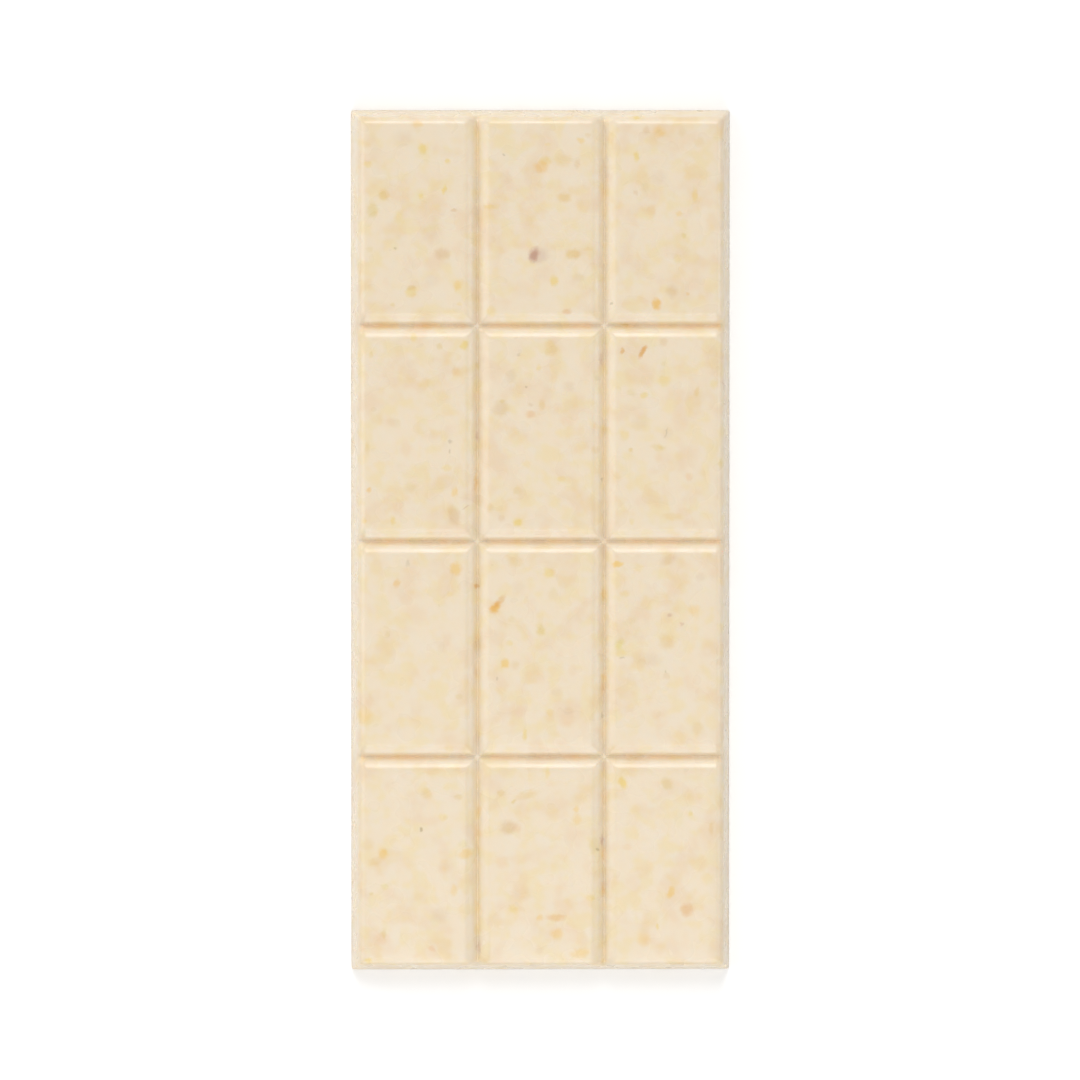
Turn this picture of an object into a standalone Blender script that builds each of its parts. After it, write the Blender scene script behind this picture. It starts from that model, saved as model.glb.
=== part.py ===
"""A moulded bar of white chocolate that lies on its flat back, with its segments facing up.

The width runs along X, the length along Y and the thickness along Z, all in metres. The origin is in the middle
of the flat back. Grooves with sloping walls run right across the front, along and across the bar, and part it
into equal segments. The bar is one solid piece.
"""

import math

import bmesh
import bpy
from mathutils import Matrix

BAR_NAME = "chocolate_bar"
CUTTER_NAME = "groove_cutters"

BAR_WIDTH = 0.0704
BAR_LENGTH = 0.160
BAR_THICKNESS = 0.0075

# The foot of the outer wall is upright over this height, and above it the wall leans in by the draft.
RIM_HEIGHT = 0.0006
WALL_DRAFT = 0.0015

COLUMN_COUNT = 3
COLUMN_PITCH = 0.0235
ROW_COUNT = 4
ROW_PITCH = 0.0400

GROOVE_DEPTH = 0.00145
GROOVE_FLOOR_WIDTH = 0.0004
GROOVE_MOUTH_WIDTH = 0.0027
# How far a groove's cutter reaches past the bar's front and past its outer walls.
CUTTER_OVERRUN = 0.002

EDGE_ROUNDING = 0.0013
CORNER_ROUNDING = 0.0005
ROUNDING_SEGMENTS = 3
SHARPEST_UNROUNDED_ANGLE = math.radians(40.0)
SMOOTH_SHADING_ANGLE = math.radians(35.0)

CHOCOLATE_COLOUR = (0.84, 0.70, 0.50, 1.0)
CHOCOLATE_ROUGHNESS = 0.38


def clear_scene():
    """Removes every object that the scene starts with."""
    for scene_object in list(bpy.data.objects):
        bpy.data.objects.remove(scene_object, do_unlink=True)


def new_collection(name):
    """Returns a new collection that hangs under the scene's own."""
    collection = bpy.data.collections.new(name)
    bpy.context.scene.collection.children.link(collection)
    return collection


def new_object(name, form, collection):
    """Turns a bmesh into an object in the collection, and frees the bmesh."""
    mesh = bpy.data.meshes.new(name)
    form.to_mesh(mesh)
    form.free()
    mesh_object = bpy.data.objects.new(name, mesh)
    collection.objects.link(mesh_object)
    return mesh_object


def box_form(width, length, low, high):
    """Returns a bmesh box that is centred on the Z axis and reaches from one height to another."""
    form = bmesh.new()
    middle = Matrix.Translation((0.0, 0.0, (low + high) / 2.0))
    bmesh.ops.create_cube(form, size=1.0, matrix=middle @ Matrix.Diagonal((width, length, high - low, 1.0)))
    return form


def make_slab(collection):
    """The bar before its grooves: an upright foot with a drafted block raised on it."""
    form = box_form(BAR_WIDTH, BAR_LENGTH, 0.0, RIM_HEIGHT)
    front = [face for face in form.faces if face.normal.z > 0.5]
    bmesh.ops.inset_region(
        form,
        faces=front,
        thickness=WALL_DRAFT,
        depth=BAR_THICKNESS - RIM_HEIGHT,
        use_boundary=True,
        use_even_offset=True,
    )
    return new_object(BAR_NAME, form, collection)


def line_offsets(count, pitch):
    """Places of the lines that part a row of equal strips, centred on zero."""
    lines = count - 1
    return [(line - (lines - 1) / 2.0) * pitch for line in range(lines)]


def make_groove_cutter(name, run_length, collection):
    """A bar along Y with the groove's section, narrow at the floor and wide at the mouth and above it."""
    floor_height = BAR_THICKNESS - GROOVE_DEPTH
    top_height = BAR_THICKNESS + CUTTER_OVERRUN
    slope = (GROOVE_MOUTH_WIDTH - GROOVE_FLOOR_WIDTH) / GROOVE_DEPTH
    top_width = GROOVE_FLOOR_WIDTH + slope * (top_height - floor_height)
    form = box_form(top_width, run_length + 2.0 * CUTTER_OVERRUN, floor_height, top_height)
    floor_corners = [vertex for vertex in form.verts if vertex.co.z < BAR_THICKNESS]
    narrowing = Matrix.Diagonal((GROOVE_FLOOR_WIDTH / top_width, 1.0, 1.0, 1.0))
    bmesh.ops.transform(form, matrix=narrowing, verts=floor_corners)
    cutter = new_object(name, form, collection)
    cutter.hide_render = True
    cutter.display_type = "WIRE"
    return cutter


def make_groove_cutters(collection):
    """One cutter on each line between the columns, and one on each line between the rows."""
    for offset in line_offsets(COLUMN_COUNT, COLUMN_PITCH):
        lengthwise = make_groove_cutter("lengthwise_groove_cutter", BAR_LENGTH, collection)
        lengthwise.location.x = offset
    for offset in line_offsets(ROW_COUNT, ROW_PITCH):
        crosswise = make_groove_cutter("crosswise_groove_cutter", BAR_WIDTH, collection)
        crosswise.rotation_euler.z = math.pi / 2.0
        crosswise.location.y = offset


def bake_modifiers(bar):
    """Makes the result of the bar's modifiers its own mesh."""
    graph = bpy.context.evaluated_depsgraph_get()
    baked = bpy.data.meshes.new_from_object(bar.evaluated_get(graph))
    bar.modifiers.clear()
    plain = bar.data
    bar.data = baked
    bpy.data.meshes.remove(plain)
    baked.name = BAR_NAME


def cut_grooves(slab, cutters):
    """Takes the grooves out of the slab."""
    cut = slab.modifiers.new("grooves", "BOOLEAN")
    cut.operation = "DIFFERENCE"
    cut.operand_type = "COLLECTION"
    cut.collection = cutters
    cut.solver = "EXACT"
    bake_modifiers(slab)


def is_outer_edge(edge):
    """True for a sharp outward edge anywhere but round the flat back."""
    if not edge.is_manifold or all(vertex.co.z < RIM_HEIGHT / 2.0 for vertex in edge.verts):
        return False
    return edge.calc_face_angle_signed() > SHARPEST_UNROUNDED_ANGLE


def is_corner_edge(edge):
    """True for an edge that runs up one of the bar's four outer corners."""
    near_side = BAR_WIDTH / 2.0 - 1.5 * WALL_DRAFT
    near_end = BAR_LENGTH / 2.0 - 1.5 * WALL_DRAFT
    return all(abs(vertex.co.x) > near_side and abs(vertex.co.y) > near_end for vertex in edge.verts)


def weigh_edges(bar):
    """Stores on each edge how far it is rounded, from 0 for not at all to 1 for the full rounding."""
    form = bmesh.new()
    form.from_mesh(bar.data)
    weight = form.edges.layers.float.new("bevel_weight_edge")
    for edge in form.edges:
        if is_outer_edge(edge):
            edge[weight] = CORNER_ROUNDING / EDGE_ROUNDING if is_corner_edge(edge) else 1.0
    form.to_mesh(bar.data)
    form.free()


def round_edges(bar):
    """Rounds the rims of the segments, the corners of the bar and the ends of the grooves."""
    weigh_edges(bar)
    rounding = bar.modifiers.new("rounding", "BEVEL")
    rounding.limit_method = "WEIGHT"
    rounding.offset_type = "OFFSET"
    rounding.width = EDGE_ROUNDING
    rounding.segments = ROUNDING_SEGMENTS
    rounding.profile = 0.5
    rounding.use_clamp_overlap = False
    bake_modifiers(bar)


def chocolate_material():
    """Creamy ivory with a soft gloss."""
    material = bpy.data.materials.new("white_chocolate")
    material.use_nodes = True
    surface = material.node_tree.nodes["Principled BSDF"]
    surface.inputs["Base Color"].default_value = CHOCOLATE_COLOUR
    surface.inputs["Roughness"].default_value = CHOCOLATE_ROUGHNESS
    surface.inputs["Metallic"].default_value = 0.0
    return material


def finish_surface(bar):
    """Gives the bar its material and shades its rounded edges smooth."""
    bar.data.materials.clear()
    bar.data.materials.append(chocolate_material())
    bar.data.shade_smooth()
    bar.data.set_sharp_from_angle(angle=SMOOTH_SHADING_ANGLE)


def main():
    clear_scene()
    parts = new_collection("candy_bar")
    cutters = new_collection(CUTTER_NAME)
    bar = make_slab(parts)
    make_groove_cutters(cutters)
    cut_grooves(bar, cutters)
    round_edges(bar)
    finish_surface(bar)


main()
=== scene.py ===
"""The looks of a moulded bar of white chocolate that lies on its back on a pale studio floor.

Lengths are in metres unless a name ends in _mm. The bar's width runs along X, its length along Y, and its
front faces +Z.
"""

import logging
import math
from collections.abc import Callable, Iterable
from dataclasses import dataclass, field
from enum import Enum

import bmesh
import bpy
from mathutils import Matrix, Vector


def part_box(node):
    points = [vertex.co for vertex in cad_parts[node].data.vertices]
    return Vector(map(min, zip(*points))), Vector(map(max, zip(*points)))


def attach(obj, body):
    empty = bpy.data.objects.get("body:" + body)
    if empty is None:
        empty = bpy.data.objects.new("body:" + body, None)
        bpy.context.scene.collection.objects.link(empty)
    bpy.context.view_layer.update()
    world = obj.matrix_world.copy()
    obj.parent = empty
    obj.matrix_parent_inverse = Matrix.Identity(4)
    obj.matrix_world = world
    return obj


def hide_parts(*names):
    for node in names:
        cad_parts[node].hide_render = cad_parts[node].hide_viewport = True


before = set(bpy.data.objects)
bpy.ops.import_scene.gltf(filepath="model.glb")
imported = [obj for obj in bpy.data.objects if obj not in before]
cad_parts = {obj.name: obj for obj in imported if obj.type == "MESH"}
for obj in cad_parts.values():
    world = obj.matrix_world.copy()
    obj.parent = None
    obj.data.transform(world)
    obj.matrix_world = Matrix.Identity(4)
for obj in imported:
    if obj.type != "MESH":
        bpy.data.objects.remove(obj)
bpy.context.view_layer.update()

BODY = "root"
BAR_NODE = "chocolate_bar"
MM = 0.001
# A point this close to the plane of a cut counts as on it.
ON_PLANE = 1e-6

log = logging.getLogger("candy_bar")

Colour = tuple[float, float, float, float]
Triple = tuple[float, float, float]
Socket = bpy.types.NodeSocket

WHITE: Colour = (1.0, 1.0, 1.0, 1.0)


class Tint(Enum):
    """The stains that crumbs of fruit and nut give the chocolate over them.

    Each is what is left of the chocolate's own linear red, green and blue where the stain is full.
    """

    YELLOW = (0.97, 0.86, 0.34, 1.0)
    AMBER = (1.00, 0.80, 0.31, 1.0)
    ORANGE = (0.97, 0.72, 0.28, 1.0)
    RUST = (0.87, 0.57, 0.23, 1.0)
    HONEY = (0.92, 0.79, 0.46, 1.0)
    TAN = (0.85, 0.72, 0.54, 1.0)
    OLIVE = (0.88, 0.81, 0.45, 1.0)
    LIME = (0.90, 0.89, 0.44, 1.0)
    PEACH = (0.95, 0.78, 0.60, 1.0)
    MAUVE = (0.84, 0.75, 0.65, 1.0)
    BROWN = (0.70, 0.52, 0.50, 1.0)
    GREY = (0.57, 0.55, 0.46, 1.0)


@dataclass(frozen=True)
class Crumb:
    """One crumb that shows at the front, placed on the face.

    Args:
        across_mm: its place to the right of the bar's middle.
        along_mm: its place towards the bar's far end.
        length_mm: its longest extent.
        width_mm: its extent the other way.
        tint: its stain.
        strength: how full the stain is, from 0 to 1.
        turn_degrees: the turn of its length from the X axis.
        softness: the part of its radius over which it fades out.
    """

    across_mm: float
    along_mm: float
    length_mm: float
    width_mm: float
    tint: Tint
    strength: float = 0.6
    turn_degrees: float = 0.0
    softness: float = 0.72


class Shader:
    """A material's node tree, with short calls that add a node and wire it."""

    def __init__(self, name: str) -> None:
        """Starts a material that holds a Principled BSDF and its output.

        Args:
            name: the material's name.
        """
        self.material = bpy.data.materials.new(name)
        self.material.use_nodes = True
        self.tree = self.material.node_tree
        self.surface = self.tree.nodes["Principled BSDF"]

    def add(self, kind: str, settings: dict | None = None, inputs: dict | None = None) -> bpy.types.Node:
        """Adds a node.

        Args:
            kind: the node's type name.
            settings: attributes of the node to set.
            inputs: values or sockets for the node's inputs, by name or number.

        Returns:
            The new node.
        """
        node = self.tree.nodes.new(kind)
        for key, value in (settings or {}).items():
            setattr(node, key, value)
        for key, value in (inputs or {}).items():
            self.feed(node.inputs[key], value)
        return node

    def feed(self, socket: Socket, value: object) -> None:
        """Feeds an input.

        Args:
            socket: the input.
            value: the socket to wire to it, or its plain value.
        """
        if isinstance(value, Socket):
            self.tree.links.new(value, socket)
        else:
            socket.default_value = value

    def math(self, operation: str, *values: object) -> Socket:
        """Returns the result of a Math node on up to three numbers or sockets."""
        inputs = dict(enumerate(values))
        return self.add("ShaderNodeMath", {"operation": operation}, inputs).outputs[0]

    def vector(self, operation: str, *values: object) -> Socket:
        """Returns the vector that a Vector Math node makes."""
        inputs = dict(enumerate(values))
        return self.add("ShaderNodeVectorMath", {"operation": operation}, inputs).outputs["Vector"]

    def length(self, vector: Socket) -> Socket:
        """Returns the length of a vector."""
        return self.add("ShaderNodeVectorMath", {"operation": "LENGTH"}, {0: vector}).outputs["Value"]

    def turn(self, vector: Socket, degrees: float) -> Socket:
        """Reads a vector along axes that are turned about Z.

        Args:
            vector: the vector along the bar's own axes.
            degrees: the turn of the axes.

        Returns:
            The vector along the turned axes.
        """
        cosine, sine = math.cos(math.radians(degrees)), math.sin(math.radians(degrees))
        parts = {}
        for index, axis in enumerate(((cosine, sine, 0.0), (-sine, cosine, 0.0), (0.0, 0.0, 1.0))):
            along = self.add("ShaderNodeVectorMath", {"operation": "DOT_PRODUCT"}, {0: vector, 1: axis})
            parts[index] = along.outputs["Value"]
        return self.add("ShaderNodeCombineXYZ", None, parts).outputs["Vector"]

    def ramp(
        self,
        value: Socket,
        start: object,
        end: object,
        low: float = 0.0,
        high: float = 1.0,
        smooth: bool = True,
    ) -> Socket:
        """Maps a number from one range to another.

        Args:
            value: the number to map.
            start: the number that becomes low.
            end: the number that becomes high.
            low: the result at the start.
            high: the result at the end.
            smooth: whether the result eases in and out.

        Returns:
            The mapped number, held between low and high.
        """
        settings = {"interpolation_type": "SMOOTHSTEP" if smooth else "LINEAR", "clamp": not smooth}
        inputs = {"Value": value, "From Min": start, "From Max": end, "To Min": low, "To Max": high}
        return self.add("ShaderNodeMapRange", settings, inputs).outputs["Result"]

    def noise(self, place: Socket, size_mm: float, detail: float, roughness: float = 0.5) -> bpy.types.Node:
        """Adds soft noise whose patches are about size_mm across, read at a place in millimetres."""
        inputs = {"Vector": place, "Scale": 1.0 / size_mm, "Detail": detail, "Roughness": roughness}
        return self.add("ShaderNodeTexNoise", {"noise_dimensions": "3D"}, inputs)

    def stray(self, place: Socket, noise: bpy.types.Node, reach_mm: float) -> Socket:
        """Moves a place about by noise, so that what is read there has a ragged outline.

        Args:
            place: the place in millimetres.
            noise: the noise that moves it.
            reach_mm: how far it moves at most along each axis.

        Returns:
            The moved place.
        """
        centred = self.vector("SUBTRACT", noise.outputs["Color"], (0.5, 0.5, 0.5))
        return self.vector("ADD", place, self.vector("MULTIPLY", centred, (2.0 * reach_mm,) * 3))

    def mix(self, amount: object, below: object, above: object, blend: str = "MIX") -> Socket:
        """Lays one colour over another.

        Args:
            amount: how much of the upper colour shows, from 0 to 1.
            below: the lower colour.
            above: the upper colour.
            blend: the way in which they mix.

        Returns:
            The mixed colour.
        """
        settings = {"data_type": "RGBA", "blend_type": blend, "clamp_factor": True}
        node = self.add("ShaderNodeMix", settings)
        self.feed(node.inputs["Factor"], amount)
        colours = [socket for socket in node.inputs if socket.type == "RGBA"]
        self.feed(colours[0], below)
        self.feed(colours[1], above)
        return next(socket for socket in node.outputs if socket.type == "RGBA")

    def colours(self, value: Socket, stops: list[tuple[float, Colour]]) -> Socket:
        """Returns a colour read from a row of stops.

        Args:
            value: where to read, from 0 to 1.
            stops: places from 0 to 1 with their colours, in order.

        Returns:
            The colour's socket.
        """
        node = self.add("ShaderNodeValToRGB", None, {"Fac": value})
        row = node.color_ramp.elements
        while len(row) < len(stops):
            row.new(1.0)
        for stop, (place, colour) in zip(row, stops):
            stop.position = place
            stop.color = colour
        return node.outputs["Color"]


class TurnedPlaces:
    """The place on the bar, read along axes that are turned about Z. Each turn is wired once."""

    def __init__(self, shader: Shader, place: Socket) -> None:
        """Starts from the place along the bar's own axes."""
        self.shader = shader
        self.by_turn = {0.0: place}

    def read(self, degrees: float) -> Socket:
        """Reads the place along turned axes.

        Args:
            degrees: the turn of the axes.

        Returns:
            The place along them.
        """
        if degrees not in self.by_turn:
            self.by_turn[degrees] = self.shader.turn(self.by_turn[0.0], degrees)
        return self.by_turn[degrees]


# The crumbs that show at the front, segment by segment.
FRONT_CRUMBS: tuple[Crumb, ...] = (
    # Far row, left segment.
    Crumb(-22.8, 77.3, 1.7, 1.3, Tint.AMBER, 0.45),
    Crumb(-21.9, 72.7, 1.5, 1.7, Tint.YELLOW, 0.55),
    Crumb(-17.3, 70.5, 0.9, 0.9, Tint.YELLOW, 0.55),
    Crumb(-31.9, 69.9, 1.5, 1.1, Tint.YELLOW, 0.45),
    Crumb(-29.1, 64.2, 1.7, 1.7, Tint.HONEY, 0.65),
    Crumb(-31.2, 61.3, 1.9, 2.4, Tint.OLIVE, 0.55),
    Crumb(-26.2, 60.0, 1.7, 2.4, Tint.YELLOW, 0.4),
    Crumb(-22.3, 64.0, 0.9, 0.9, Tint.YELLOW, 0.45),
    Crumb(-17.9, 65.2, 0.7, 1.7, Tint.YELLOW, 0.6, -15.0),
    Crumb(-16.2, 61.3, 1.1, 0.5, Tint.TAN, 0.5),
    Crumb(-31.7, 54.1, 1.1, 1.1, Tint.OLIVE, 0.3),
    Crumb(-18.2, 53.3, 2.6, 1.9, Tint.TAN, 0.6),
    Crumb(-24.0, 46.3, 1.9, 1.9, Tint.YELLOW, 0.5),
    Crumb(-24.0, 47.1, 1.5, 0.9, Tint.TAN, 0.4),
    Crumb(-15.5, 47.4, 1.5, 1.5, Tint.AMBER, 0.5),
    Crumb(-15.1, 44.1, 0.9, 0.7, Tint.YELLOW, 0.35),
    Crumb(-27.5, 43.9, 0.9, 0.7, Tint.OLIVE, 0.5),
    Crumb(-25.5, 74.5, 3.4, 2.6, Tint.MAUVE, 0.2),
    Crumb(-19.8, 57.4, 3.0, 3.6, Tint.MAUVE, 0.2),
    Crumb(-20.3, 48.4, 2.6, 2.2, Tint.MAUVE, 0.2),
    Crumb(-26.9, 54.3, 0.5, 0.5, Tint.GREY, 0.5),
    # Far row, middle segment.
    Crumb(0.0, 69.4, 2.4, 1.9, Tint.ORANGE, 0.55),
    Crumb(0.8, 70.5, 1.9, 1.5, Tint.YELLOW, 0.5),
    Crumb(4.1, 70.7, 3.0, 2.2, Tint.HONEY, 0.4),
    Crumb(6.7, 70.0, 1.1, 1.7, Tint.TAN, 0.4),
    Crumb(1.2, 73.5, 0.9, 0.7, Tint.YELLOW, 0.3),
    Crumb(7.4, 74.3, 1.3, 0.9, Tint.AMBER, 0.5),
    Crumb(8.6, 75.3, 0.9, 0.9, Tint.HONEY, 0.35),
    Crumb(4.3, 63.7, 2.4, 1.7, Tint.HONEY, 0.65),
    Crumb(-1.3, 53.1, 1.6, 2.4, Tint.BROWN, 0.85, -15.0),
    Crumb(-0.4, 53.0, 3.2, 2.6, Tint.BROWN, 0.35),
    Crumb(6.0, 53.3, 2.4, 1.8, Tint.HONEY, 0.7),
    Crumb(8.7, 54.3, 1.5, 0.7, Tint.HONEY, 0.3),
    Crumb(2.4, 48.3, 1.5, 1.9, Tint.YELLOW, 0.65),
    Crumb(6.9, 48.9, 1.9, 1.5, Tint.MAUVE, 0.3),
    Crumb(-3.4, 46.7, 3.6, 3.0, Tint.PEACH, 0.2),
    Crumb(-6.6, 67.4, 2.2, 1.9, Tint.MAUVE, 0.2),
    Crumb(-9.2, 42.6, 1.7, 1.7, Tint.YELLOW, 0.4),
    Crumb(4.9, 42.6, 1.5, 1.0, Tint.RUST, 0.45),
    Crumb(-9.2, 62.0, 2.6, 0.9, Tint.YELLOW, 0.4),
    Crumb(-7.0, 71.6, 0.4, 0.4, Tint.GREY, 0.5),
    # Far row, right segment.
    Crumb(17.7, 78.6, 1.1, 0.9, Tint.YELLOW, 0.6),
    Crumb(19.5, 76.2, 1.1, 1.5, Tint.TAN, 0.4),
    Crumb(21.9, 76.0, 1.9, 1.9, Tint.AMBER, 0.45),
    Crumb(26.1, 75.9, 1.5, 1.5, Tint.HONEY, 0.35),
    Crumb(29.4, 74.0, 1.7, 1.5, Tint.HONEY, 0.35),
    Crumb(17.6, 71.2, 0.9, 1.7, Tint.YELLOW, 0.55),
    Crumb(21.8, 67.6, 2.6, 2.2, Tint.MAUVE, 0.25),
    Crumb(17.6, 64.6, 0.9, 0.9, Tint.TAN, 0.4),
    Crumb(19.4, 65.5, 1.5, 1.7, Tint.MAUVE, 0.3),
    Crumb(28.5, 64.2, 0.9, 2.6, Tint.YELLOW, 0.4),
    Crumb(20.4, 61.3, 1.7, 2.2, Tint.PEACH, 0.45),
    Crumb(25.6, 60.7, 1.1, 0.9, Tint.AMBER, 0.35),
    Crumb(26.5, 56.7, 0.9, 0.9, Tint.OLIVE, 0.5),
    Crumb(25.3, 52.4, 1.5, 1.5, Tint.YELLOW, 0.3),
    Crumb(24.2, 46.3, 2.0, 2.2, Tint.TAN, 0.45),
    Crumb(21.4, 44.0, 1.5, 1.9, Tint.ORANGE, 0.85),
    Crumb(27.2, 45.9, 0.6, 0.7, Tint.ORANGE, 0.4),
    Crumb(15.5, 40.2, 1.5, 0.7, Tint.OLIVE, 0.7),
    Crumb(31.7, 59.2, 1.9, 3.0, Tint.PEACH, 0.25),
    Crumb(13.0, 74.8, 1.5, 2.2, Tint.AMBER, 0.35),
    Crumb(13.0, 44.1, 0.5, 0.5, Tint.GREY, 0.5),
    # Second row, left segment.
    Crumb(-23.6, 37.9, 1.1, 1.5, Tint.YELLOW, 0.5),
    Crumb(-18.8, 36.2, 0.9, 0.9, Tint.OLIVE, 0.5),
    Crumb(-14.2, 36.4, 1.3, 1.5, Tint.YELLOW, 0.65, -30.0),
    Crumb(-31.4, 34.6, 0.7, 1.1, Tint.OLIVE, 0.4),
    Crumb(-15.8, 31.6, 1.3, 1.5, Tint.PEACH, 0.35),
    Crumb(-21.2, 29.3, 2.6, 1.5, Tint.YELLOW, 0.25),
    Crumb(-27.3, 22.1, 2.2, 1.5, Tint.TAN, 0.25),
    Crumb(-25.0, 17.3, 1.9, 2.6, Tint.PEACH, 0.3),
    Crumb(-17.4, 13.6, 1.5, 1.1, Tint.YELLOW, 0.35),
    Crumb(-32.1, 17.4, 0.9, 1.9, Tint.OLIVE, 0.3),
    Crumb(-31.9, 9.6, 0.9, 0.9, Tint.ORANGE, 0.6),
    Crumb(-24.2, 10.0, 2.2, 1.7, Tint.OLIVE, 0.35),
    Crumb(-16.0, 9.2, 1.1, 1.7, Tint.AMBER, 0.5),
    Crumb(-16.1, 4.9, 1.9, 3.3, Tint.TAN, 0.6, 15.0),
    Crumb(-13.9, 6.4, 1.6, 0.3, Tint.BROWN, 0.4, 30.0),
    Crumb(-27.4, 3.9, 0.9, 1.5, Tint.YELLOW, 0.5),
    Crumb(-32.7, 3.9, 0.9, 1.1, Tint.YELLOW, 0.4),
    Crumb(-26.4, 6.4, 1.9, 2.6, Tint.PEACH, 0.25),
    Crumb(-12.0, 11.3, 0.7, 4.1, Tint.ORANGE, 0.5),
    Crumb(-11.9, 19.6, 0.7, 1.5, Tint.BROWN, 0.4),
    Crumb(-11.7, 32.6, 0.7, 1.9, Tint.OLIVE, 0.35),
    Crumb(-16.8, 18.6, 0.7, 0.6, Tint.GREY, 0.45),
    Crumb(-16.9, 16.7, 0.4, 0.7, Tint.GREY, 0.4),
    # Second row, middle segment.
    Crumb(-7.4, 24.7, 2.6, 2.6, Tint.TAN, 0.5),
    Crumb(-7.2, 26.0, 1.0, 0.7, Tint.OLIVE, 0.5),
    Crumb(-1.9, 23.6, 1.7, 1.3, Tint.PEACH, 0.6),
    Crumb(-2.0, 25.4, 0.9, 0.6, Tint.MAUVE, 0.5),
    Crumb(-5.5, 30.8, 1.7, 2.2, Tint.TAN, 0.35),
    Crumb(-0.4, 32.3, 0.9, 0.9, Tint.YELLOW, 0.4),
    Crumb(-4.3, 9.3, 1.5, 1.3, Tint.OLIVE, 0.35),
    Crumb(-9.4, 6.2, 1.3, 1.5, Tint.OLIVE, 0.3),
    Crumb(-4.3, 3.6, 1.6, 1.5, Tint.YELLOW, 0.75),
    Crumb(-7.4, 4.3, 1.1, 1.1, Tint.TAN, 0.4),
    Crumb(-2.6, 14.4, 1.5, 1.1, Tint.YELLOW, 0.25),
    Crumb(1.8, 35.9, 2.2, 2.6, Tint.HONEY, 0.35),
    Crumb(5.1, 28.8, 1.9, 1.7, Tint.MAUVE, 0.3),
    Crumb(0.2, 25.4, 1.1, 1.7, Tint.HONEY, 0.4),
    Crumb(3.8, 11.6, 1.3, 1.1, Tint.YELLOW, 0.35),
    Crumb(10.4, 30.3, 0.9, 1.1, Tint.GREY, 0.2),
    Crumb(11.2, 33.9, 0.7, 2.2, Tint.BROWN, 0.35),
    Crumb(10.2, 17.0, 1.5, 1.3, Tint.HONEY, 0.4),
    Crumb(-2.7, 28.7, 0.5, 0.4, Tint.GREY, 0.5),
    Crumb(-4.1, 34.6, 0.6, 0.6, Tint.GREY, 0.3),
    # Second row, right segment.
    Crumb(15.0, 35.3, 0.7, 1.1, Tint.RUST, 0.6, -15.0),
    Crumb(18.8, 35.2, 2.4, 0.8, Tint.RUST, 0.85, 60.0),
    Crumb(22.7, 37.0, 1.3, 1.5, Tint.TAN, 0.35),
    Crumb(22.7, 32.9, 0.9, 0.9, Tint.OLIVE, 0.35),
    Crumb(22.9, 29.8, 1.9, 1.7, Tint.YELLOW, 0.35),
    Crumb(19.1, 27.1, 1.3, 1.1, Tint.YELLOW, 0.55),
    Crumb(16.7, 27.6, 1.7, 1.1, Tint.OLIVE, 0.35),
    Crumb(28.9, 27.8, 0.7, 1.9, Tint.OLIVE, 0.35, -15.0),
    Crumb(32.0, 29.2, 1.3, 1.5, Tint.YELLOW, 0.35),
    Crumb(34.0, 29.0, 0.7, 2.2, Tint.BROWN, 0.35),
    Crumb(18.3, 21.9, 2.6, 2.2, Tint.TAN, 0.25),
    Crumb(15.5, 19.7, 1.7, 1.7, Tint.YELLOW, 0.4),
    Crumb(23.4, 20.1, 1.9, 2.2, Tint.MAUVE, 0.25),
    Crumb(23.2, 20.1, 0.3, 1.9, Tint.GREY, 0.35, -15.0),
    Crumb(16.6, 17.0, 0.8, 0.7, Tint.HONEY, 0.6),
    Crumb(21.6, 17.5, 2.4, 1.1, Tint.OLIVE, 0.4, -15.0),
    Crumb(27.5, 12.0, 1.3, 1.3, Tint.PEACH, 0.45),
    Crumb(33.3, 14.4, 0.7, 1.7, Tint.OLIVE, 0.4),
    Crumb(24.2, 4.7, 3.4, 1.2, Tint.HONEY, 0.4),
    Crumb(26.6, 5.6, 2.6, 1.3, Tint.PEACH, 0.25),
    Crumb(16.9, 3.7, 0.9, 1.1, Tint.YELLOW, 0.35),
    Crumb(11.7, 20.8, 0.9, 1.5, Tint.AMBER, 0.35),
    Crumb(11.4, 11.5, 0.5, 0.7, Tint.GREY, 0.5),
    # Third row, left segment.
    Crumb(-15.8, -5.0, 1.9, 2.2, Tint.AMBER, 0.65, 15.0),
    Crumb(-26.7, -7.7, 1.5, 1.1, Tint.ORANGE, 0.5, 60.0),
    Crumb(-28.4, -17.1, 0.9, 1.3, Tint.OLIVE, 0.4),
    Crumb(-16.8, -9.7, 1.1, 0.9, Tint.YELLOW, 0.3),
    Crumb(-23.3, -13.4, 4.5, 3.0, Tint.PEACH, 0.25, -30.0),
    Crumb(-15.1, -28.7, 1.3, 0.9, Tint.OLIVE, 0.35),
    Crumb(-34.0, -26.4, 0.9, 1.5, Tint.OLIVE, 0.35),
    Crumb(-32.7, -32.3, 3.0, 3.0, Tint.AMBER, 0.4),
    Crumb(-31.7, -29.5, 1.5, 1.9, Tint.PEACH, 0.25),
    Crumb(-17.0, -38.4, 1.5, 1.3, Tint.YELLOW, 0.3),
    Crumb(-18.3, -19.7, 1.9, 1.5, Tint.TAN, 0.2),
    Crumb(-24.7, -4.0, 0.6, 1.3, Tint.GREY, 0.3),
    Crumb(-11.9, -8.3, 0.9, 0.9, Tint.RUST, 0.7),
    Crumb(-12.0, -18.3, 0.9, 3.7, Tint.TAN, 0.3),
    Crumb(-12.0, -24.3, 0.9, 2.6, Tint.MAUVE, 0.35),
    # Third row, middle segment.
    Crumb(-8.5, -12.2, 2.2, 1.5, Tint.ORANGE, 0.95, 45.0),
    Crumb(-7.6, -11.0, 2.6, 1.0, Tint.RUST, 0.45, 45.0),
    Crumb(-4.7, -3.7, 2.6, 1.7, Tint.HONEY, 0.35),
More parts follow.
